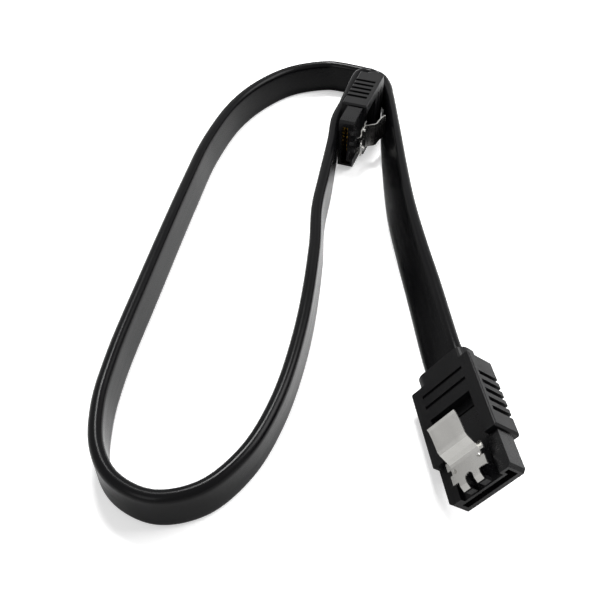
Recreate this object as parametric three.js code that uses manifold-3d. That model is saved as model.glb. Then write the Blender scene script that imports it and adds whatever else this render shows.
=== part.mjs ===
// Flat serial data cable with a straight latching connector on each end.
// Millimetres, +Z up. The cable lies on the plane z = 0 as a loop of ribbon that
// stands on its narrow edge. The origin is on that plane, under the middle of the
// box around the two connectors.
//
// A connector has its own axes: x runs from the cable end to the mating end,
// y across its width and z through its thickness, from the back to the latch side.

import * as THREE from 'three';
import { mergeVertices } from 'three/addons/utils/BufferGeometryUtils.js';
import Module from 'manifold-3d';

const wasm = await Module();
wasm.setup();

// Ribbon cable
const RIBBON_WIDTH = 9.5;
const RIBBON_THICKNESS = 2.8;
const RIBBON_EDGE_RADIUS = 1.25;
const RIBBON_SUBSTEPS = 2;
const PAIR_WIDTH = 3.5;
const PAIR_THICKNESS = 1.3;
const PAIR_SPACING = 4.3;
const PAIR_CLEARANCE = 0.15;
const PAIR_INSIDE = 6.4;

// Moulded grip
const GRIP_LENGTH = 17.5;
const GRIP_WIDTH = 15.5;
const GRIP_THICKNESS = 6.8;
const GRIP_CORNER = 0.4;
const COLLAR_LENGTH = 3.2;
const COLLAR_WIDTH = 12.6;
const COLLAR_THICKNESS = 5.6;
const CUTOUT_START = 8.0;
const CUTOUT_WIDTH = 10.0;
const CHAMBER_START = 1.6;
const CHAMBER_WIDTH = 9.4;
const CHAMBER_HEIGHT = 1.9;
const CHAMBER_ROOF = 0.5;
const SIDE_GROOVE_COUNT = 5;
const SIDE_GROOVE_START = 5.0;
const SIDE_GROOVE_PITCH = 2.1;
const SIDE_GROOVE_WIDTH = 1.0;
const SIDE_GROOVE_DEPTH = 0.7;
const RAIL_WIDTH = 1.1;
const FACE_GROOVE_POSITIONS = [2.4, 5.0];
const FACE_GROOVE_LENGTH = 10.4;
const FACE_GROOVE_WIDTH = 0.7;
const FACE_GROOVE_DEPTH = 0.5;

// Receptacle housing, whose front is the nose that mates
const NOSE_LENGTH = 7.9;
const NOSE_WIDTH = 14.2;
const NOSE_BACK = 1.7;
const NOSE_THICKNESS = 4.1;
const NOSE_CHAMFER = 0.6;
const SLOT_LEFT = -5.6;
const SLOT_RIGHT = 6.0;
const SLOT_HEIGHT = 1.5;
const SLOT_FLOOR = 1.0;
const KEY_WIDTH = 1.0;
const KEY_HEIGHT = 1.0;
const POCKET_WIDTH = 9.0;
const POCKET_FLOOR = 0.6;
const TAIL_START = 10.0;
const TAIL_WIDTH = 12.0;

// Latch spring, folded from one strip of sheet metal. Places along it are measured
// from its tip towards the cable. The profile of the thumb pad and its ramp gives
// that distance and the height above the plate.
const SHEET = 0.3;
const LATCH_WIDTH = 6.7;
const LATCH_SETBACK = 0.15;
const LATCH_HEIGHT = 7.4;
const THUMB_PROFILE = [
  [12.2, 3.75], [11.7, 3.35], [10.2, 2.95], [8.6, 2.7], [7.6, 2.6],
  [7.1, 2.25], [6.2, 0.95], [5.6, 0.2], [5.0, 0],
];
const UPPER_TAB = [6.4, 4.7];
const UPPER_TAB_WIDTH = 8.5;
const LOWER_TAB = [3.65, 1.8];
const LOWER_TAB_WIDTH = 7.9;
const WAIST_WIDTH = 6.9;
const BARB_DIAMETER = 0.9;
const BARB_HEIGHT = 0.35;
const BARB_PLACE = 4.1;
const BARB_SPACING = 5.7;
const PRONG_WIDTH = 1.5;
const PRONG_SPACING = 3.2;
const PRONG_OFFSET = -0.3;
const PRONG_BEND = 0.9;
const PRONG_DROP = 0.6;
const ANCHOR_LENGTH = 0.9;
const NOTCH_ROOT = 2.4;

// Contacts and the wire ends behind them
const CONTACT_COUNT = 7;
const CONTACT_PITCH = 1.27;
const CONTACT_WIDTH = 0.6;
const CONTACT_THICKNESS = 0.3;
const CONTACT_SETBACK = 3.6;
const CONTACT_TAIL = 0.9;
const WIRE_DIAMETER = 0.5;
const WIRE_STARTS = [-3.35, -2.45, -1.45, 0, 1.45, 2.45, 3.35];
const GROUND_WIRES = [1, 4, 7];

// Clearances between pieces
const SEAT_GAP = 0.3;
const END_GAP = 0.3;

// Heights inside a connector that several pieces share
const CABLE_HEIGHT = GRIP_THICKNESS / 2;
const SLOT_BOTTOM = NOSE_BACK + SLOT_FLOOR;
const SLOT_TOP = SLOT_BOTTOM + SLOT_HEIGHT;
const POCKET_BOTTOM = SLOT_TOP + POCKET_FLOOR;
const CHAMBER_TOP = CABLE_HEIGHT + CHAMBER_HEIGHT / 2;
const NOSE_END = GRIP_LENGTH + NOSE_LENGTH;
const CONTACT_START = TAIL_START - CONTACT_TAIL;
const LATCH_TIP = NOSE_END - LATCH_SETBACK;

// Where the connectors lie, with their turns in degrees
const CONNECTORS = [
  { name: 'near', position: [7.52, -40.66, 5.84], roll: 50.9, pitch: 2.5, heading: -82.9 },
  { name: 'far', position: [-7.31, 64.16, 7.75], roll: -90, pitch: 0, heading: -109.8 },
];

// Route of the ribbon's middle from the near collar to the far one: x, y, z and the
// angle in degrees by which the ribbon leans to the right of its run.
const CABLE_ROUTE = [
  [4.46, -37.42, 7.83, 39.1],
  [4.03, -33.95, 7.68, 38.4],
  [2.7, -14.9, 6.4, 37],
  [1.5, -1.3, 5.9, 34],
  [0.4, 16.2, 5.3, 31],
  [0.5, 48.2, 4.9, 17],
  [1, 62.7, 4.8, 3],
  [0.8, 69, 4.8, 0],
  [-0.7, 73.4, 4.8, 0],
  [-3.8, 75.8, 4.8, 0],
  [-7.5, 77.5, 4.8, 0],
  [-11.2, 79, 4.8, 0],
  [-15.8, 80.1, 4.8, 0],
  [-26.3, 77.4, 4.8, 0],
  [-35.2, 70, 4.8, 3],
  [-42.7, 58.7, 4.8, 4],
  [-48.8, 41.1, 4.8, 5],
  [-52.5, 22.6, 4.8, 6],
  [-58.4, -12.3, 4.8, 5],
  [-62, -35.3, 4.8, 3],
  [-62.7, -47.3, 4.8, 3],
  [-61.3, -56.8, 4.8, 0],
  [-57.4, -63.1, 4.8, 0],
  [-50.1, -66.8, 4.8, 0],
  [-41.8, -65.1, 4.8, 0],
  [-34.6, -58.1, 4.8, 0],
  [-29, -46.6, 4.8, -1],
  [-24.1, -27.3, 4.8, -4],
  [-20.9, -2.3, 4.8, -5],
  [-20.1, 12.3, 4.8, -5],
  [-18.2, 24.5, 4.8, -5],
  [-15.8, 40.2, 5.5, 0],
  [-14.6, 48.7, 6.2, 0],
  [-12, 56.3, 6.7, 0],
  [-7.73, 69.2, 7.6, 0],
  [-6.4, 70.53, 7.75, 0],
  [-4.29, 70.62, 7.75, 0],
  [-2.73, 69.21, 7.75, 0],
  [-2.52, 67.43, 7.75, 0],
  [-2.93, 66.3, 7.75, 0],
];

const matteBlack = new THREE.MeshStandardMaterial({ color: '#202022', roughness: 0.5, metalness: 0 });
const jacketBlack = new THREE.MeshStandardMaterial({ color: '#1b1b1d', roughness: 0.42, metalness: 0 });
const glossBlack = new THREE.MeshStandardMaterial({ color: '#141416', roughness: 0.3, metalness: 0 });
const springSteel = new THREE.MeshStandardMaterial({ color: '#cfccc6', roughness: 0.25, metalness: 1 });
const goldPlate = new THREE.MeshStandardMaterial({ color: '#d6ab52', roughness: 0.25, metalness: 1 });
const foilShield = new THREE.MeshStandardMaterial({ color: '#b9bcc0', roughness: 0.35, metalness: 1 });
const tinnedWire = new THREE.MeshStandardMaterial({ color: '#c2b8a8', roughness: 0.35, metalness: 1 });
const whiteWire = new THREE.MeshStandardMaterial({ color: '#e6e4de', roughness: 0.5, metalness: 0 });

// Closed solid of a geometry, with its shared corners merged.
function solidOf(geometry) {
  const bare = geometry.index ? geometry.toNonIndexed() : geometry.clone();
  bare.deleteAttribute('normal');
  bare.deleteAttribute('uv');
  const merged = mergeVertices(bare, 1e-5);
  return new wasm.Manifold(new wasm.Mesh({
    numProp: 3,
    vertProperties: new Float32Array(merged.attributes.position.array),
    triVerts: new Uint32Array(merged.index.array),
  }));
}

// Geometry of a solid, with flat normals.
function geometryOf(solid) {
  const mesh = solid.getMesh();
  const shared = new THREE.BufferGeometry();
  shared.setAttribute('position', new THREE.BufferAttribute(mesh.vertProperties, 3));
  shared.setIndex(new THREE.BufferAttribute(mesh.triVerts, 1));
  const flat = shared.toNonIndexed();
  flat.computeVertexNormals();
  return flat;
}

function joinAll(solids) {
  return solids.reduce((whole, solid) => whole.add(solid));
}

// Outline of a rectangle whose corners are cut by arcs of the given radius.
function roundedRectangle(x0, x1, y0, y1, radius) {
  const shape = new THREE.Shape();
  shape.moveTo(x0 + radius, y0);
  shape.lineTo(x1 - radius, y0);
  shape.absarc(x1 - radius, y0 + radius, radius, -Math.PI / 2, 0);
  shape.lineTo(x1, y1 - radius);
  shape.absarc(x1 - radius, y1 - radius, radius, 0, Math.PI / 2);
  shape.lineTo(x0 + radius, y1);
  shape.absarc(x0 + radius, y1 - radius, radius, Math.PI / 2, Math.PI);
  shape.lineTo(x0, y0 + radius);
  shape.absarc(x0 + radius, y0 + radius, radius, Math.PI, 1.5 * Math.PI);
  return shape;
}

// Bar along x whose y, z section has rounded corners.
function roundedBar(x0, x1, y0, y1, z0, z1, radius, curveSegments = 3) {
  const section = roundedRectangle(y0, y1, z0, z1, radius);
  const geometry = new THREE.ExtrudeGeometry(section, { depth: x1 - x0, bevelEnabled: false, curveSegments });
  const turn = new THREE.Matrix4().makeBasis(
    new THREE.Vector3(0, 1, 0), new THREE.Vector3(0, 0, 1), new THREE.Vector3(1, 0, 0));
  geometry.applyMatrix4(turn);
  geometry.translate(x0, 0, 0);
  return solidOf(geometry);
}

function block(x0, x1, y0, y1, z0, z1) {
  const geometry = new THREE.BoxGeometry(x1 - x0, y1 - y0, z1 - z0);
  geometry.translate((x0 + x1) / 2, (y0 + y1) / 2, (z0 + z1) / 2);
  return solidOf(geometry);
}

// Block that is centred across the connector's width.
function slab(x0, x1, width, z0, z1) {
  return block(x0, x1, -width / 2, width / 2, z0, z1);
}

// Plate of a plan outline in x and y, between two heights.
function plate(points, z0, z1) {
  const shape = new THREE.Shape(points.map(([x, y]) => new THREE.Vector2(x, y)));
  const geometry = new THREE.ExtrudeGeometry(shape, { depth: z1 - z0, bevelEnabled: false });
  geometry.translate(0, 0, z0);
  return solidOf(geometry);
}

// Rectangle in plan with its four corners cut at 45 degrees.
function chamferedPlan(x0, x1, width, rearCut, frontCut) {
  const half = width / 2;
  return [
    [x0 + rearCut, -half], [x1 - frontCut, -half], [x1, -half + frontCut], [x1, half - frontCut],
    [x1 - frontCut, half], [x0 + rearCut, half], [x0, half - rearCut], [x0, -half + rearCut],
  ];
}

// Strip of sheet that follows a profile in x and z, of a given width across y.
function sheetStrip(profile, width, centre) {
  const points = profile.map(([x, z]) => new THREE.Vector2(x, z));
  const upper = [];
  const lower = [];
  points.forEach((point, i) => {
    const before = points[Math.max(i - 1, 0)];
    const after = points[Math.min(i + 1, points.length - 1)];
    const along = after.clone().sub(before).normalize();
    const side = new THREE.Vector2(-along.y, along.x).multiplyScalar(SHEET / 2);
    upper.push(point.clone().add(side));
    lower.push(point.clone().sub(side));
  });
  const shape = new THREE.Shape([...lower, ...upper.reverse()]);
  const geometry = new THREE.ExtrudeGeometry(shape, { depth: width, bevelEnabled: false });
  const turn = new THREE.Matrix4().makeBasis(
    new THREE.Vector3(1, 0, 0), new THREE.Vector3(0, 0, 1), new THREE.Vector3(0, -1, 0));
  geometry.applyMatrix4(turn);
  geometry.translate(0, centre + width / 2, 0);
  return solidOf(geometry);
}

function part(name, geometry, material) {
  const mesh = new THREE.Mesh(geometry, material);
  mesh.name = name;
  return mesh;
}

// Moulded grip with its collar, the finger grooves, the window over the latch and
// the hollow that holds the wires and the housing's tail.
function makeGrip(prefix) {
  const half = GRIP_WIDTH / 2;
  const section = roundedBar(0, GRIP_LENGTH, -half, half, 0, GRIP_THICKNESS, GRIP_CORNER);
  const plan = plate(chamferedPlan(0, GRIP_LENGTH, GRIP_WIDTH, GRIP_CORNER, GRIP_CORNER), -1, GRIP_THICKNESS + 1);
  const collar = roundedBar(
    -COLLAR_LENGTH, 1, -COLLAR_WIDTH / 2, COLLAR_WIDTH / 2,
    CABLE_HEIGHT - COLLAR_THICKNESS / 2, CABLE_HEIGHT + COLLAR_THICKNESS / 2, COLLAR_THICKNESS * 0.4, 4);
  const body = section.intersect(plan).add(collar);

  const cableBore = PAIR_SPACING + PAIR_WIDTH + 2 * SEAT_GAP;
  const cuts = [
    slab(-COLLAR_LENGTH - 1, CHAMBER_START + 0.5, cableBore,
      CABLE_HEIGHT - PAIR_THICKNESS / 2 - SEAT_GAP, CABLE_HEIGHT + PAIR_THICKNESS / 2 + SEAT_GAP),
    slab(CHAMBER_START, TAIL_START, CHAMBER_WIDTH, CHAMBER_TOP - CHAMBER_HEIGHT, CHAMBER_TOP),
    slab(CUTOUT_START, GRIP_LENGTH + 1, CUTOUT_WIDTH, CHAMBER_TOP + CHAMBER_ROOF, GRIP_THICKNESS + 1),
    slab(TAIL_START - SEAT_GAP, GRIP_LENGTH + 1, TAIL_WIDTH + 2 * SEAT_GAP,
      NOSE_BACK - SEAT_GAP, POCKET_BOTTOM + SEAT_GAP),
  ];
  for (const x of FACE_GROOVE_POSITIONS) {
    cuts.push(slab(x - FACE_GROOVE_WIDTH / 2, x + FACE_GROOVE_WIDTH / 2, FACE_GROOVE_LENGTH,
      GRIP_THICKNESS - FACE_GROOVE_DEPTH, GRIP_THICKNESS + 1));
  }
  for (let i = 0; i < SIDE_GROOVE_COUNT; i += 1) {
    const x0 = SIDE_GROOVE_START + i * SIDE_GROOVE_PITCH - SIDE_GROOVE_WIDTH / 2;
    const x1 = x0 + SIDE_GROOVE_WIDTH;
    cuts.push(block(x0, x1, half - SIDE_GROOVE_DEPTH, half + 1, -1, GRIP_THICKNESS - RAIL_WIDTH));
    cuts.push(block(x0, x1, -half - 1, -half + SIDE_GROOVE_DEPTH, -1, GRIP_THICKNESS - RAIL_WIDTH));
  }
  return part(`${prefix}_grip`, geometryOf(body.subtract(joinAll(cuts))), matteBlack);
}

// Receptacle housing: the nose with its keyed slot, the latch pocket with the two
// anchors under the prongs, and a tail that sits inside the grip.
function makeHousing(prefix) {
  const noseStart = GRIP_LENGTH + SEAT_GAP;
  const noseTop = NOSE_BACK + NOSE_THICKNESS;
  const nose = plate(chamferedPlan(noseStart, NOSE_END, NOSE_WIDTH, 0.01, NOSE_CHAMFER), NOSE_BACK, noseTop);
  const tail = slab(TAIL_START, noseStart + 1, TAIL_WIDTH, NOSE_BACK, POCKET_BOTTOM);
  const cuts = [
    slab(noseStart - 1, NOSE_END + 1, POCKET_WIDTH, POCKET_BOTTOM, noseTop + 1),
    block(TAIL_START - 1, NOSE_END + 1, SLOT_LEFT, SLOT_RIGHT, SLOT_BOTTOM, SLOT_TOP),
    block(noseStart + 1, NOSE_END + 1, SLOT_RIGHT - KEY_WIDTH, SLOT_RIGHT, SLOT_TOP - 0.1, SLOT_TOP + KEY_HEIGHT),
  ];
  const anchors = [-1, 1].map((side) => {
    const centre = PRONG_OFFSET + side * PRONG_SPACING / 2;
    return block(LATCH_TIP - ANCHOR_LENGTH, LATCH_TIP, centre - PRONG_WIDTH / 2, centre + PRONG_WIDTH / 2,
      POCKET_BOTTOM - POCKET_FLOOR / 2, LATCH_HEIGHT - PRONG_DROP - SHEET / 2 - SEAT_GAP);
  });
  const housing = nose.add(tail).subtract(joinAll(cuts)).add(joinAll(anchors));
  return part(`${prefix}_receptacle_housing`, geometryOf(housing), glossBlack);
}

// Latch spring: thumb pad, ramp, plate with side tabs and barbs, and two prongs
// with a round-ended notch between them, whose tips slope down to the anchors.
function makeLatch(prefix) {
  const low = LATCH_HEIGHT - SHEET / 2;
  const high = LATCH_HEIGHT + SHEET / 2;
  const thumb = THUMB_PROFILE.map(([back, rise]) => [LATCH_TIP - back, LATCH_HEIGHT + rise]);
  const [upperStart, upperEnd] = UPPER_TAB.map((back) => LATCH_TIP - back);
  const [lowerStart, lowerEnd] = LOWER_TAB.map((back) => LATCH_TIP - back);
  const tabRoot = LATCH_WIDTH / 2 - SHEET;
  const pieces = [
    sheetStrip([...thumb, [upperEnd, LATCH_HEIGHT]], LATCH_WIDTH, 0),
    slab(upperEnd - SHEET, lowerStart + SHEET, WAIST_WIDTH, low, high),
    slab(lowerStart, lowerEnd, LOWER_TAB_WIDTH, low, high),
    block(upperStart, upperEnd, tabRoot, UPPER_TAB_WIDTH / 2, low, high),
    block(upperStart, upperEnd, -UPPER_TAB_WIDTH / 2, -tabRoot, low, high),
  ];
  const prong = [
    [lowerEnd - SHEET, LATCH_HEIGHT], [LATCH_TIP - PRONG_BEND, LATCH_HEIGHT],
    [LATCH_TIP, LATCH_HEIGHT - PRONG_DROP],
  ];
  for (const side of [-1, 1]) {
    pieces.push(sheetStrip(prong, PRONG_WIDTH, PRONG_OFFSET + side * PRONG_SPACING / 2));
    const barb = new THREE.CylinderGeometry(BARB_DIAMETER * 0.35, BARB_DIAMETER / 2, BARB_HEIGHT + SHEET / 2, 10);
    barb.rotateX(Math.PI / 2);
    barb.translate(LATCH_TIP - BARB_PLACE, side * BARB_SPACING / 2, LATCH_HEIGHT + (BARB_HEIGHT + SHEET / 2) / 2);
    pieces.push(solidOf(barb));
  }
  const notchWidth = PRONG_SPACING - PRONG_WIDTH;
  const notchCentre = LATCH_TIP - NOTCH_ROOT + notchWidth / 2;
  const round = new THREE.CylinderGeometry(notchWidth / 2, notchWidth / 2, 3 * SHEET, 16);
  round.rotateX(Math.PI / 2);
  round.translate(notchCentre, 0, LATCH_HEIGHT);
  const notch = solidOf(round)
    .add(slab(notchCentre, lowerEnd + SHEET, notchWidth, low - SHEET, high + SHEET))
    .translate([0, PRONG_OFFSET, 0]);
  return part(`${prefix}_latch_spring`, geometryOf(joinAll(pieces).subtract(notch)), springSteel);
}

function contactPlace(number) {
  return (number - (CONTACT_COUNT + 1) / 2) * CONTACT_PITCH;
}

function makeContact(prefix, number) {
  const y = contactPlace(number);
  const z = SLOT_BOTTOM + SEAT_GAP;
  const blade = block(CONTACT_START, NOSE_END - CONTACT_SETBACK, y - CONTACT_WIDTH / 2, y + CONTACT_WIDTH / 2,
    z, z + CONTACT_THICKNESS);
  return part(`${prefix}_contact_${number}`, geometryOf(blade), goldPlate);
}

// Wire end that runs from the face of a shielded pair to the tail of a contact.
function makeWire(prefix, number) {
  const start = -COLLAR_LENGTH - END_GAP + PAIR_INSIDE + END_GAP;
  const end = CONTACT_START - END_GAP;
  const startY = WIRE_STARTS[number - 1];
  const endY = contactPlace(number);
  const endZ = SLOT_BOTTOM + SEAT_GAP + CONTACT_THICKNESS / 2;
  const quarter = (end - start) / 4;
  const path = new THREE.CatmullRomCurve3([
    new THREE.Vector3(start, startY, CABLE_HEIGHT),
    new THREE.Vector3(start + quarter, startY, CABLE_HEIGHT),
    new THREE.Vector3(end - quarter, endY, endZ),
    new THREE.Vector3(end, endY, endZ),
  ]);
  const section = new THREE.Shape();
  section.absarc(0, 0, WIRE_DIAMETER / 2, 0, 2 * Math.PI);
  const geometry = new THREE.ExtrudeGeometry(section, { steps: 6, extrudePath: path, curveSegments: 6 });
  const isGround = GROUND_WIRES.includes(number);
  const name = isGround ? `${prefix}_drain_wire_${number}` : `${prefix}_signal_wire_${number}`;
  return part(name, geometryOf(solidOf(geometry)), isGround ? tinnedWire : whiteWire);
}

function makeConnector({ name, position, roll, pitch, heading }) {
  const group = new THREE.Group();
  group.add(makeGrip(name), makeHousing(name), makeLatch(name));
  for (let number = 1; number <= CONTACT_COUNT; number += 1) {
    group.add(makeContact(name, number), makeWire(name, number));
  }
  const degrees = Math.PI / 180;
  group.position.set(...position);
  group.rotation.set(roll * degrees, -pitch * degrees, heading * degrees, 'ZYX');
  return group;
}

// Middle line of the ribbon with the directions of its width and thickness.
function makeRoute() {
  const middle = new THREE.CatmullRomCurve3(CABLE_ROUTE.map(([x, y, z]) => new THREE.Vector3(x, y, z)));
  const lean = new THREE.CatmullRomCurve3(
    CABLE_ROUTE.map((row, i) => new THREE.Vector3(row[3], i, 0)), false, 'catmullrom');
  const stations = [];
  const count = (CABLE_ROUTE.length - 1) * RIBBON_SUBSTEPS;
  for (let i = 0; i <= count; i += 1) {
    const point = middle.getPoint(i / count);
    const along = middle.getTangent(i / count);
    const right = new THREE.Vector3().crossVectors(along, new THREE.Vector3(0, 0, 1)).normalize();
    const up = new THREE.Vector3().crossVectors(right, along).normalize();
    const angle = THREE.MathUtils.degToRad(lean.getPoint(i / count).x);
    const width = up.clone().multiplyScalar(Math.cos(angle)).addScaledVector(right, Math.sin(angle));
    const thickness = new THREE.Vector3().crossVectors(along, width).normalize();
    stations.push({ point, along, width, thickness });
  }
  return stations;
}

// Straight lengths of the inner pairs that reach past both ends of the jacket.
function extendRoute(stations, reach) {
  const first = stations[0];
  const last = stations[stations.length - 1];
  const start = { ...first, point: first.point.clone().addScaledVector(first.along, -reach) };
  const end = { ...last, point: last.point.clone().addScaledVector(last.along, reach) };
  return [start, ...stations, end];
}

// Extrusion of a section whose x is the ribbon's thickness and whose y is its width,
// bent to follow the stations.
function alongRoute(section, stations, curveSegments) {
  const steps = stations.length - 1;
  const geometry = new THREE.ExtrudeGeometry(section, { depth: steps, steps, bevelEnabled: false, curveSegments });
  const position = geometry.attributes.position;
  const placed = new THREE.Vector3();
  for (let i = 0; i < position.count; i += 1) {
    const station = stations[Math.round(position.getZ(i))];
    placed.copy(station.point)
      .addScaledVector(station.thickness, -position.getX(i))
      .addScaledVector(station.width, position.getY(i));
    position.setXYZ(i, placed.x, placed.y, placed.z);
  }
  return geometry;
}

// Jacket of the ribbon, with two channels for the shielded pairs.
function makeJacket(stations) {
  const section = roundedRectangle(
    -RIBBON_THICKNESS / 2, RIBBON_THICKNESS / 2, -RIBBON_WIDTH / 2, RIBBON_WIDTH / 2, RIBBON_EDGE_RADIUS);
  for (const side of [-1, 1]) {
    const centre = side * PAIR_SPACING / 2;
    const halfWidth = PAIR_WIDTH / 2 + PAIR_CLEARANCE;
    const halfThickness = PAIR_THICKNESS / 2 + PAIR_CLEARANCE;
    section.holes.push(new THREE.Path([
      new THREE.Vector2(-halfThickness, centre - halfWidth),
      new THREE.Vector2(-halfThickness, centre + halfWidth),
      new THREE.Vector2(halfThickness, centre + halfWidth),
      new THREE.Vector2(halfThickness, centre - halfWidth),
    ]));
  }
  return part('cable_jacket', geometryOf(solidOf(alongRoute(section, stations, 2))), jacketBlack);
}

// One pair of signal wires with its foil, as a flattened core.
function makePair(stations, side, number) {
  const centre = side * PAIR_SPACING / 2;
  const section = roundedRectangle(
    -PAIR_THICKNESS / 2, PAIR_THICKNESS / 2, centre - PAIR_WIDTH / 2, centre + PAIR_WIDTH / 2, PAIR_THICKNESS * 0.4);
  const geometry = alongRoute(section, extendRoute(stations, PAIR_INSIDE), 1);
  return part(`shielded_pair_${number}`, geometryOf(solidOf(geometry)), foilShield);
}

const cable = new THREE.Group();
const stations = makeRoute();
cable.add(makeJacket(stations), makePair(stations, -1, 1), makePair(stations, 1, 2));
CONNECTORS.forEach((connector) => cable.add(makeConnector(connector)));

export default cable;
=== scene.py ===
"""Flat black data cable with a straight latching connector on each end.

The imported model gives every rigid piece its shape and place. This script adds the
smooth ribbon, bevels the moulded and folded pieces, gives each piece the material of
its real process, and sets the studio and the camera of the photograph.
"""

import logging
import math
from dataclasses import dataclass
from enum import Enum

import bpy
import numpy as np
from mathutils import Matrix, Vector


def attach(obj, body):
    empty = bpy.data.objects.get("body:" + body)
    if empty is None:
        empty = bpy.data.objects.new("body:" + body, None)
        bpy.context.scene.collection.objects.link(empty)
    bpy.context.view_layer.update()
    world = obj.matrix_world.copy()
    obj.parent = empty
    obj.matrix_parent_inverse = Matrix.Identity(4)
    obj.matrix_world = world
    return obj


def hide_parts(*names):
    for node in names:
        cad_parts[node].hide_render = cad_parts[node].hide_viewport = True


log = logging.getLogger("cable")

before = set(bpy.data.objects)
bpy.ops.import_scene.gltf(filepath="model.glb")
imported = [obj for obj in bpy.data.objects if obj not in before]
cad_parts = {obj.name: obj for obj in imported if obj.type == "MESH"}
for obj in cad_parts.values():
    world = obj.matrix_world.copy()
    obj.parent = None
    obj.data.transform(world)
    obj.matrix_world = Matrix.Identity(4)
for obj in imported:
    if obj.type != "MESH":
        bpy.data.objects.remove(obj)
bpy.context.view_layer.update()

MM = 0.001
ROOT_BODY = "cable_and_connectors"

# Camera of the photograph, in the part's frame.
CAMERA_POSITION = (-24.51 * MM, -137.12 * MM, 128.5 * MM)
CAMERA_TARGET = (-24.51 * MM, -11.32 * MM, 0.0)
CAMERA_LENS = 47.1
CAMERA_SENSOR = 36.0
CAMERA_CLIP = (5.0 * MM, 10.0)

# Ribbon of the cable, in millimetres.
RIBBON_WIDTH = 9.5
RIBBON_THICKNESS = 2.8
# Distance between stations along the ribbon.
RIBBON_STEP = 0.6
# Points round the section, a multiple of four.
RIBBON_RING = 48
# Points that the spline makes between two points of the route.
SPLINE_STEPS = 24
# Middle line from the near collar to the far one: x, y, z and the lean in degrees.
RIBBON_ROUTE = (
    (4.46, -37.42, 7.83, 39.1),
    (4.03, -33.95, 7.68, 38.4),
    (2.7, -14.9, 6.4, 37),
    (1.5, -1.3, 5.9, 34),
    (0.4, 16.2, 5.3, 31),
    (0.5, 48.2, 4.9, 17),
    (1, 62.7, 4.8, 3),
    (0.8, 69, 4.8, 0),
    (-0.7, 73.4, 4.8, 0),
    (-3.8, 75.8, 4.8, 0),
    (-7.5, 77.5, 4.8, 0),
    (-11.2, 79, 4.8, 0),
    (-15.8, 80.1, 4.8, 0),
    (-26.3, 77.4, 4.8, 0),
    (-35.2, 70, 4.8, 3),
    (-42.7, 58.7, 4.8, 4),
    (-48.8, 41.1, 4.8, 5),
    (-52.5, 22.6, 4.8, 6),
    (-58.4, -12.3, 4.8, 5),
    (-62, -35.3, 4.8, 3),
    (-62.7, -47.3, 4.8, 3),
    (-61.3, -56.8, 4.8, 0),
    (-57.4, -63.1, 4.8, 0),
    (-50.1, -66.8, 4.8, 0),
    (-41.8, -65.1, 4.8, 0),
    (-34.6, -58.1, 4.8, 0),
    (-29, -46.6, 4.8, -1),
    (-24.1, -27.3, 4.8, -4),
    (-20.9, -2.3, 4.8, -5),
    (-20.1, 12.3, 4.8, -5),
    (-18.2, 24.5, 4.8, -5),
    (-15.8, 40.2, 5.5, 0),
    (-14.6, 48.7, 6.2, 0),
    (-12, 56.3, 6.7, 0),
    (-7.73, 69.2, 7.6, 0),
    (-6.4, 70.53, 7.75, 0),
    (-4.29, 70.62, 7.75, 0),
    (-2.73, 69.21, 7.75, 0),
    (-2.52, 67.43, 7.75, 0),
    (-2.93, 66.3, 7.75, 0),
)

# Broken edges, in millimetres, and the sharpest angle that stays as it is, in degrees.
GRIP_EDGE = 0.16
HOUSING_EDGE = 0.12
LATCH_EDGE = 0.05
BEVEL_ANGLE = 38.0

# Noise between these two values runs from one end of a finish to the other.
NOISE_BAND = (0.35, 0.65)
# Share of the fine grain in the slow variation.
FINE_SHARE = 0.35

# Paper of the floor: how much light it returns, and what the camera sees on top.
FLOOR_ALBEDO = 0.8
FLOOR_GLOW = 0.4
# Point that the lamps face, in metres.
LAMP_TARGET = (-0.02, 0.0, 0.0)


def linear(hex_colour: str) -> tuple[float, float, float, float]:
    """Turns an sRGB hex colour into linear values.

    Args:
        hex_colour: Colour as "#rrggbb".

    Returns:
        Linear red, green and blue, and an alpha of 1.
    """
    channels = [int(hex_colour[i:i + 2], 16) / 255 for i in (1, 3, 5)]
    curved = [c / 12.92 if c <= 0.04045 else ((c + 0.055) / 1.055) ** 2.4 for c in channels]
    return (*curved, 1.0)


def add_node(tree: bpy.types.NodeTree, kind: str, inputs: dict | None = None, **settings) -> bpy.types.Node:
    """Adds one shader node, sets it and links it.

    Args:
        tree: Node tree that takes the node.
        kind: Blender's name of the node type.
        inputs: Socket name or index to a value, or to the socket that feeds it.
        **settings: Properties of the node itself.

    Returns:
        The new node.
    """
    node = tree.nodes.new(kind)
    for name, value in settings.items():
        setattr(node, name, value)
    for name, value in (inputs or {}).items():
        socket = node.inputs[name]
        if isinstance(value, bpy.types.NodeSocket):
            tree.links.new(value, socket)
        else:
            socket.default_value = value
    return node


class Coordinates(Enum):
    """What a material's pattern is laid on."""

    OBJECT = "Object"
    ALONG_RIBBON = "UV"


@dataclass(frozen=True)
class Pose:
    """Turn of a connector in the part's frame.

    Attributes:
        name: Prefix of the connector's nodes.
        turns: Roll, pitch and heading in degrees.
    """

    name: str
    turns: tuple[float, float, float]

    def rotation(self) -> tuple[float, float, float]:
        """Gives the turn as angles about x, y and z.

        Returns:
            Three angles in radians, x applied first.
        """
        roll, pitch, heading = (math.radians(a) for a in self.turns)
        return (roll, -pitch, heading)


NEAR = Pose("near", (50.9, 2.5, -82.9))
FAR = Pose("far", (-90.0, 0.0, -109.8))


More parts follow.
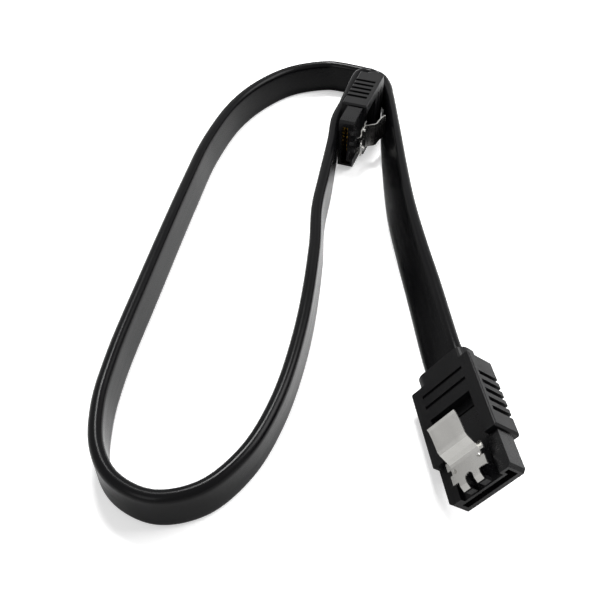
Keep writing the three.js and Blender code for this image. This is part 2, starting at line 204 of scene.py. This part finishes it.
@dataclass(frozen=True)
class Finish:
    """Surface of one real material and process.

    Attributes:
        name: Name of the material, its real stuff and how it is made.
        dark: Darker colour of its slow variation.
        light: Lighter colour of its slow variation.
        roughness: Lowest and highest roughness.
        metallic: 1 for bare metal, 0 for plastic.
        grain: Size of the fine relief, in millimetres.
        relief: Height of the fine relief, in millimetres.
        drift: Size of the slow colour variation, in millimetres.
        stretch: How many times longer the grain is along x than across.
        coordinates: What the pattern is laid on.
        turn: Angles that line the pattern up with a turned piece.
        specular: Specular level, for plastic only.
    """

    name: str
    dark: str
    light: str
    roughness: tuple[float, float]
    metallic: float = 0.0
    grain: float = 0.2
    relief: float = 0.01
    drift: float = 6.0
    stretch: float = 1.0
    coordinates: Coordinates = Coordinates.OBJECT
    turn: tuple[float, float, float] = (0.0, 0.0, 0.0)
    specular: float = 0.5

    def build(self) -> bpy.types.Material:
        """Makes the material's node tree.

        Returns:
            The new material.
        """
        material = bpy.data.materials.new(self.name)
        material.use_nodes = True
        tree = material.node_tree
        tree.nodes.clear()
        source = add_node(tree, "ShaderNodeTexCoord").outputs[self.coordinates.value]
        aligned = add_node(
            tree, "ShaderNodeMapping", {"Vector": source, "Rotation": self.turn}, vector_type="TEXTURE")
        stretched = add_node(tree, "ShaderNodeMapping", {
            "Vector": aligned.outputs["Vector"],
            "Scale": (1.0 / self.stretch, 1.0, 1.0)}, vector_type="POINT")
        fine = add_node(tree, "ShaderNodeTexNoise", {
            "Vector": stretched.outputs["Vector"], "Scale": 1.0 / (self.grain * MM),
            "Detail": 3.0, "Roughness": 0.55})
        slow = add_node(tree, "ShaderNodeTexNoise", {
            "Vector": stretched.outputs["Vector"], "Scale": 1.0 / (self.drift * MM),
            "Detail": 2.0, "Roughness": 0.5})
        blend = add_node(tree, "ShaderNodeMix", {
            "Factor": FINE_SHARE, "A": slow.outputs["Fac"], "B": fine.outputs["Fac"]}, data_type="FLOAT")
        colour = add_node(tree, "ShaderNodeValToRGB", {"Fac": blend.outputs["Result"]})
        for element, place, shade in zip(colour.color_ramp.elements, NOISE_BAND, (self.dark, self.light)):
            element.position = place
            element.color = linear(shade)
        rough = add_node(tree, "ShaderNodeMapRange", {
            "Value": blend.outputs["Result"], "From Min": NOISE_BAND[0], "From Max": NOISE_BAND[1],
            "To Min": self.roughness[0], "To Max": self.roughness[1]})
        bump = add_node(tree, "ShaderNodeBump", {
            "Height": fine.outputs["Fac"], "Strength": 1.0, "Distance": self.relief * MM})
        shader = add_node(tree, "ShaderNodeBsdfPrincipled", {
            "Base Color": colour.outputs["Color"], "Roughness": rough.outputs["Result"],
            "Metallic": self.metallic, "Normal": bump.outputs["Normal"]})
        if self.metallic == 0.0:
            shader.inputs["Specular IOR Level"].default_value = self.specular
        add_node(tree, "ShaderNodeOutputMaterial", {"Surface": shader.outputs["BSDF"]})
        return material


# Soft PVC pressed out of a die: streaks run lengthwise with the extrusion.
JACKET = Finish(
    "extruded_soft_pvc_jacket", "#040405", "#080809", (0.19, 0.27), grain=0.12, relief=0.004,
    drift=1.2, stretch=14.0, coordinates=Coordinates.ALONG_RIBBON, specular=0.08)
# Soft PVC moulded over the cable end, in a mould with a spark-eroded matt finish.
GRIP = Finish(
    "moulded_satin_pvc_grip", "#060607", "#0a0a0b", (0.34, 0.46), grain=0.16, relief=0.008, specular=0.13)
# Glass-filled LCP moulded in a polished tool, smoother than the grip.
HOUSING = Finish(
    "moulded_lcp_receptacle", "#060607", "#0a0a0b", (0.24, 0.34), grain=0.35, relief=0.003, specular=0.15)
# White insulation extruded on the signal wires.
INSULATION = Finish("extruded_white_insulation", "#d9d6ce", "#ebe8e1", (0.4, 0.55), grain=0.1, relief=0.004)
# Gold flash over nickel on stamped contacts.
GOLD = Finish(
    "stamped_gold_plated_contact", "#c79a3e", "#dcb259", (0.2, 0.34), metallic=1.0, grain=0.1, relief=0.002)
# Aluminium foil wound round each pair.
FOIL = Finish("wound_aluminium_foil", "#a9acb0", "#c3c6ca", (0.25, 0.4), metallic=1.0, grain=0.4, relief=0.02)
# Tinned copper drain wire.
TINNED = Finish(
    "tinned_copper_wire", "#b3ab9c", "#cfc9bd", (0.28, 0.42), metallic=1.0, grain=0.1, relief=0.004)


def latch_finish(pose: Pose) -> Finish:
    """Gives the finish of one latch: spring steel rolled along the strip.

    Args:
        pose: The connector that carries the latch.

    Returns:
        The finish, turned with the connector.
    """
    return Finish(
        f"rolled_spring_steel_{pose.name}", "#a3a29f", "#b0afac", (0.2, 0.27), metallic=1.0,
        grain=0.09, relief=0.0008, drift=3.0, stretch=12.0, turn=pose.rotation())


def paint(thing: bpy.types.Object, material: bpy.types.Material) -> None:
    """Puts one material on every slot of an object.

    Args:
        thing: The object.
        material: Its material.
    """
    if not thing.material_slots:
        thing.data.materials.append(material)
    for place in thing.material_slots:
        place.link = "OBJECT"
        place.material = material


def add_bevel(thing: bpy.types.Object, width: float, segments: int = 2) -> None:
    """Breaks the sharp edges of a piece, as a mould or a press leaves them.

    Args:
        thing: The object.
        width: Width of the broken edge, in millimetres.
        segments: Number of faces across it.
    """
    bevel = thing.modifiers.new("broken_edges", "BEVEL")
    bevel.width = width * MM
    bevel.segments = segments
    bevel.limit_method = "ANGLE"
    bevel.angle_limit = math.radians(BEVEL_ANGLE)
    bevel.use_clamp_overlap = True


@dataclass
class StudioCamera:
    """Camera at the place from which the photograph was taken.

    Attributes:
        position: Place of the lens, in metres.
        target: Point that it looks at.
        lens: Focal length, in millimetres.
    """

    position: tuple[float, float, float] = CAMERA_POSITION
    target: tuple[float, float, float] = CAMERA_TARGET
    lens: float = CAMERA_LENS

    def build(self) -> bpy.types.Object:
        """Makes the camera the scene's camera.

        Returns:
            The camera.
        """
        data = bpy.data.cameras.new("photo_camera")
        data.lens = self.lens
        data.sensor_width = CAMERA_SENSOR
        data.sensor_fit = "HORIZONTAL"
        data.clip_start, data.clip_end = CAMERA_CLIP
        camera = bpy.data.objects.new("photo_camera", data)
        camera.location = self.position
        direction = Vector(self.target) - Vector(self.position)
        camera.rotation_euler = direction.to_track_quat("-Z", "Y").to_euler()
        bpy.context.scene.collection.objects.link(camera)
        bpy.context.scene.camera = camera
        return camera


@dataclass
class Ribbon:
    """The flat jacket as a smooth stadium section carried along its route.

    Attributes:
        route: Points of the middle line with the lean in degrees.
        width: Full width of the section, in millimetres.
        thickness: Full thickness of the section, in millimetres.
    """

    route: tuple[tuple[float, float, float, float], ...] = RIBBON_ROUTE
    width: float = RIBBON_WIDTH
    thickness: float = RIBBON_THICKNESS

    def spline(self) -> np.ndarray:
        """Runs a centripetal Catmull-Rom spline through the route.

        Between points p1 and p2, with knots t[i+1] = t[i] + |p[i+1] - p[i]|^0.5, the
        curve is the cubic Hermite piece whose end slopes come from the three-point
        differences over those knots.

        Returns:
            Rows of x, y, z and lean, evenly spaced along the line.
        """
        points = np.array(self.route, float)
        ends = [2 * points[0] - points[1], *points, 2 * points[-1] - points[-2]]
        rows = []
        for p0, p1, p2, p3 in zip(ends, ends[1:], ends[2:], ends[3:]):
            d0, d1, d2 = (math.sqrt(np.linalg.norm((b - a)[:3])) for a, b in ((p0, p1), (p1, p2), (p2, p3)))
            m1 = ((p1 - p0) / d0 - (p2 - p0) / (d0 + d1) + (p2 - p1) / d1) * d1
            m2 = ((p2 - p1) / d1 - (p3 - p1) / (d1 + d2) + (p3 - p2) / d2) * d1
            t = np.linspace(0, 1, SPLINE_STEPS, endpoint=False)[:, None]
            rows.append(p1 + m1 * t + (3 * (p2 - p1) - 2 * m1 - m2) * t**2 + (2 * (p1 - p2) + m1 + m2) * t**3)
        line = np.vstack([*rows, points[-1:]])
        run = np.concatenate([[0], np.cumsum(np.linalg.norm(np.diff(line[:, :3], axis=0), axis=1))])
        even = np.linspace(0, run[-1], int(round(run[-1] / RIBBON_STEP)) + 1)
        return np.column_stack([np.interp(even, run, line[:, i]) for i in range(4)])

    def section(self) -> np.ndarray:
        """Gives the ring of the section, width along the first column.

        The ring is a stadium: two flat faces joined by half circles whose radius is
        half the thickness.

        Returns:
            Rows of width and thickness offsets, in millimetres.
        """
        radius = self.thickness / 2
        flat = self.width / 2 - radius
        rows = []
        arc = RIBBON_RING // 4
        for centre, start in ((flat, -math.pi / 2), (-flat, math.pi / 2)):
            for i in range(arc + 1):
                angle = start + math.pi * i / arc
                rows.append((centre + radius * math.cos(angle), radius * math.sin(angle)))
            for i in range(1, arc):
                share = i / arc
                rows.append((centre * (1 - 2 * share), math.copysign(radius, -start)))
        return np.array(rows)

    def build(self) -> bpy.types.Object:
        """Returns:
            The ribbon.
        """
        stations = self.spline()
        middle = stations[:, :3]
        along = np.gradient(middle, axis=0)
        along /= np.linalg.norm(along, axis=1)[:, None]
        right = np.cross(along, (0, 0, 1))
        right /= np.linalg.norm(right, axis=1)[:, None]
        up = np.cross(right, along)
        lean = np.radians(stations[:, 3])[:, None]
        wide = up * np.cos(lean) + right * np.sin(lean)
        thick = np.cross(along, wide)
        ring = self.section()
        count, around = len(middle), len(ring)
        across = ring[None, :, :1] * wide[:, None]
        through = ring[None, :, 1:] * thick[:, None]
        surface = (middle[:, None] + across + through) * MM
        faces = []
        for i in range(count - 1):
            for j in range(around):
                k = (j + 1) % around
                faces.append((i * around + j, i * around + k, (i + 1) * around + k, (i + 1) * around + j))
        faces.append(tuple(range(around)))
        faces.append(tuple((count - 1) * around + j for j in reversed(range(around))))
        mesh = bpy.data.meshes.new("cable_ribbon")
        mesh.from_pydata(surface.reshape(-1, 3).tolist(), [], faces)
        self.add_uv(mesh, ring, count)
        mesh.polygons.foreach_set("use_smooth", [True] * (len(faces) - 2) + [False, False])
        mesh.update()
        ribbon = bpy.data.objects.new("cable_ribbon", mesh)
        bpy.context.scene.collection.objects.link(ribbon)
        paint(ribbon, JACKET.build())
        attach(ribbon, ROOT_BODY)
        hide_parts("cable_jacket")
        return ribbon

    def add_uv(self, mesh: bpy.types.Mesh, ring: np.ndarray, count: int) -> None:
        """Lays the ribbon flat: u runs along the cable and v round the section, in metres.

        Args:
            mesh: The ribbon's mesh.
            ring: The section's ring.
            count: Number of stations.
        """
        around = len(ring)
        edge = np.linalg.norm(np.diff(ring, axis=0, append=ring[:1]), axis=1)
        girth = np.concatenate([[0], np.cumsum(edge)]) * MM
        layer = mesh.uv_layers.new(name="along_ribbon")
        rows = []
        for i in range(count - 1):
            u0, u1 = i * RIBBON_STEP * MM, (i + 1) * RIBBON_STEP * MM
            for j in range(around):
                rows += [u0, girth[j], u0, girth[j + 1], u1, girth[j + 1], u1, girth[j]]
        rows += [value * MM for point in ring for value in point] * 2
        layer.data.foreach_set("uv", rows)


@dataclass
class Connector:
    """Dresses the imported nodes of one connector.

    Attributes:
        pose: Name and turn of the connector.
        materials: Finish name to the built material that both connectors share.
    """

    pose: Pose
    materials: dict[str, bpy.types.Material]

    def node(self, name: str) -> bpy.types.Object:
        """Finds one of the connector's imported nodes.

        Args:
            name: Its name without the connector's prefix.

        Returns:
            The node's object.
        """
        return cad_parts[f"{self.pose.name}_{name}"]

    def build(self) -> None:
        """Paints the connector's nodes and bevels its grip, housing and latch."""
        paint(self.node("grip"), self.materials["grip"])
        add_bevel(self.node("grip"), GRIP_EDGE)
        paint(self.node("receptacle_housing"), self.materials["housing"])
        add_bevel(self.node("receptacle_housing"), HOUSING_EDGE)
        paint(self.node("latch_spring"), latch_finish(self.pose).build())
        add_bevel(self.node("latch_spring"), LATCH_EDGE, 1)
        for name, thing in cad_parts.items():
            if not name.startswith(self.pose.name):
                continue
            if "contact" in name:
                paint(thing, self.materials["gold"])
            elif "signal_wire" in name:
                paint(thing, self.materials["insulation"])
            elif "drain_wire" in name:
                paint(thing, self.materials["tinned"])


@dataclass
class Studio:
    """White sweep with soft lamps round the part.

    Attributes:
        floor_size: Side of the floor, in metres.
        ambient: Strength of the white surroundings on the object.
    """

    floor_size: float = 6.0
    ambient: float = 0.38

    def build(self) -> None:
        """Makes the floor, the surroundings and the lamps."""
        self.make_floor()
        self.make_world()
        self.add_lamp("key_softbox", (0.42, 0.12, 0.42), 0.35, 3.4)
        self.add_lamp("top_softbox", (-0.05, 0.3, 0.6), 0.16, 5.0)
        self.add_lamp("front_fill", (-0.3, -0.45, 0.35), 0.3, 0.9)

    def make_floor(self) -> None:
        """Makes the pale floor, which keeps the shadows and is lifted towards white for the camera."""
        half = self.floor_size / 2
        mesh = bpy.data.meshes.new("floor")
        corners = [(-half, -half, 0), (half, -half, 0), (half, half, 0), (-half, half, 0)]
        mesh.from_pydata(corners, [], [(0, 1, 2, 3)])
        floor = bpy.data.objects.new("floor", mesh)
        bpy.context.scene.collection.objects.link(floor)
        material = bpy.data.materials.new("pale_paper_sweep")
        material.use_nodes = True
        tree = material.node_tree
        tree.nodes.clear()
        paper = add_node(tree, "ShaderNodeBsdfDiffuse", {"Color": (*[FLOOR_ALBEDO] * 3, 1.0)})
        glow = add_node(tree, "ShaderNodeEmission", {"Color": (1.0, 1.0, 1.0, 1.0), "Strength": FLOOR_GLOW})
        lifted = add_node(tree, "ShaderNodeAddShader", {0: paper.outputs[0], 1: glow.outputs[0]})
        ray = add_node(tree, "ShaderNodeLightPath")
        mixed = add_node(tree, "ShaderNodeMixShader", {
            0: ray.outputs["Is Camera Ray"], 1: paper.outputs[0], 2: lifted.outputs[0]})
        add_node(tree, "ShaderNodeOutputMaterial", {"Surface": mixed.outputs[0]})
        paint(floor, material)

    def make_world(self) -> None:
        """Makes the surroundings white to the camera, in metal and in glass, and dimmer as a light."""
        world = bpy.data.worlds.new("white_surroundings")
        world.use_nodes = True
        tree = world.node_tree
        tree.nodes.clear()
        ray = add_node(tree, "ShaderNodeLightPath")
        direct = add_node(tree, "ShaderNodeMath", {
            0: ray.outputs["Is Camera Ray"], 1: ray.outputs["Is Transmission Ray"]}, operation="MAXIMUM")
        seen = add_node(tree, "ShaderNodeMath", {
            0: direct.outputs[0], 1: ray.outputs["Is Glossy Ray"]}, operation="MAXIMUM")
        strength = add_node(tree, "ShaderNodeMapRange", {
            "Value": seen.outputs[0], "To Min": self.ambient, "To Max": 1.0})
        white = add_node(tree, "ShaderNodeBackground", {
            "Color": (1.0, 1.0, 1.0, 1.0), "Strength": strength.outputs["Result"]})
        add_node(tree, "ShaderNodeOutputWorld", {"Surface": white.outputs[0]})
        bpy.context.scene.world = world

    def add_lamp(self, name: str, position: tuple[float, float, float], size: float, power: float) -> None:
        """Adds a square soft lamp that faces the part.

        Args:
            name: Name of the lamp.
            position: Its place, in metres.
            size: Its side, in metres.
            power: Its power, in watts.
        """
        data = bpy.data.lights.new(name, "AREA")
        data.shape = "SQUARE"
        data.size = size
        data.energy = power
        lamp = bpy.data.objects.new(name, data)
        lamp.location = position
        direction = Vector(LAMP_TARGET) - Vector(position)
        lamp.rotation_euler = direction.to_track_quat("-Z", "Y").to_euler()
        bpy.context.scene.collection.objects.link(lamp)


def main() -> None:
    """Builds the camera, the cable, both connectors and the studio."""
    logging.basicConfig(level=logging.INFO)
    bpy.context.scene.view_settings.view_transform = "Standard"
    StudioCamera().build()
    Ribbon().build()
    foil = FOIL.build()
    for name in ("shielded_pair_1", "shielded_pair_2"):
        paint(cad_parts[name], foil)
    shared = {
        "grip": GRIP.build(), "housing": HOUSING.build(), "gold": GOLD.build(),
        "insulation": INSULATION.build(), "tinned": TINNED.build(),
    }
    for pose in (NEAR, FAR):
        Connector(pose, shared).build()
    Studio().build()


if __name__ == "__main__":
    main()
